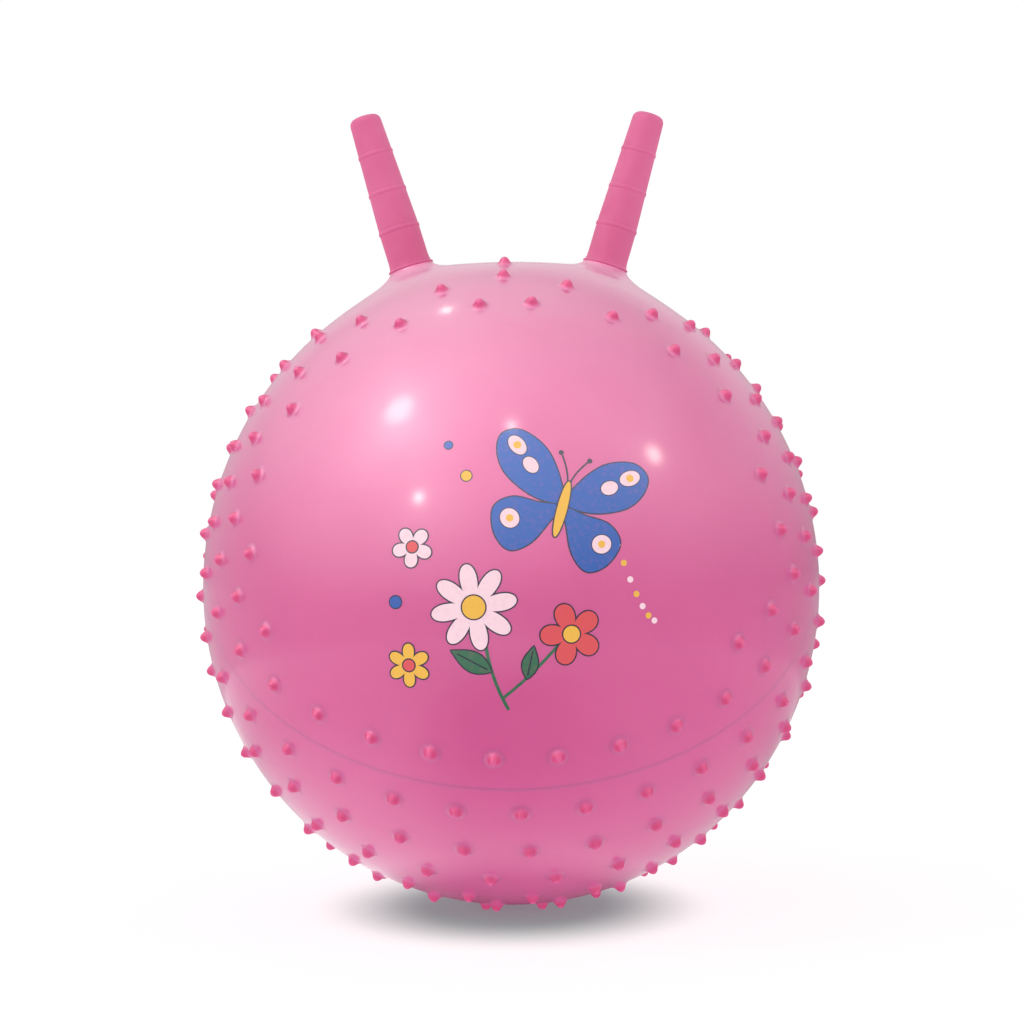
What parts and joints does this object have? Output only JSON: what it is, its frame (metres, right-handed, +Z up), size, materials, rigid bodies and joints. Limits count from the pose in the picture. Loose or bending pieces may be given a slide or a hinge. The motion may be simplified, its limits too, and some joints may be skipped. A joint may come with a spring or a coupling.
{
  "type": "hopper ball",
  "caption": "Inflated ball to sit and bounce on, with two ringed horns to hold, rows of grip nubs round a bare printed front, and a plugged air valve at the back.",
  "frame": {"origin": "on the floor, under the middle of the ball", "axes": "+Z up, X across the two horns, and the bare printed front faces -Y"},
  "size_m": [0.4601, 0.4539, 0.5833],
  "materials": {
    "skin": "glossy, slightly translucent soft PVC",
    "horn": "matte soft PVC, thicker than the skin",
    "nub": "satin soft PVC",
    "valve": "satin soft PVC",
    "plug": "satin moulded polyethylene"
  },
  "bodies": {
    "ball": {"shell": "skin", "valve_sleeve": "valve", "foot_nubs": "nub", "nub_row_01": "nub", "nub_row_02": "nub", "nub_row_03": "nub", "nub_row_04": "nub", "nub_row_05": "nub", "nub_row_06": "nub", "nub_row_07": "nub", "nub_row_08": "nub", "nub_row_09": "nub", "nub_row_10": "nub", "nub_row_11": "nub", "nub_row_12": "nub", "nub_row_13": "nub", "nub_row_14": "nub", "nub_row_15": "nub", "nub_row_16": "nub", "nub_row_17": "nub", "nub_row_18": "nub"},
    "left_grip": {"left_horn": "horn"},
    "right_grip": {"right_horn": "horn"},
    "plug": {"valve_plug": "plug"}
  },
  "joints": [
    {"name": "left_horn_flex", "type": "hinge", "parent": "ball", "child": "left_grip", "pos_m": [-0.0736, 0, 0.47685], "axis": [1, 0, 0], "range_deg": [-20, 20], "stiffness_Nm_per_rad": 2.5},
    {"name": "right_horn_flex", "type": "hinge", "parent": "ball", "child": "right_grip", "pos_m": [0.0736, 0, 0.47685], "axis": [1, 0, 0], "range_deg": [-20, 20], "stiffness_Nm_per_rad": 2.5},
    {"name": "plug_pull", "type": "slide", "parent": "ball", "child": "plug", "axis": [0, 1, 0], "range_m": [0, 0.022]}
  ]
}
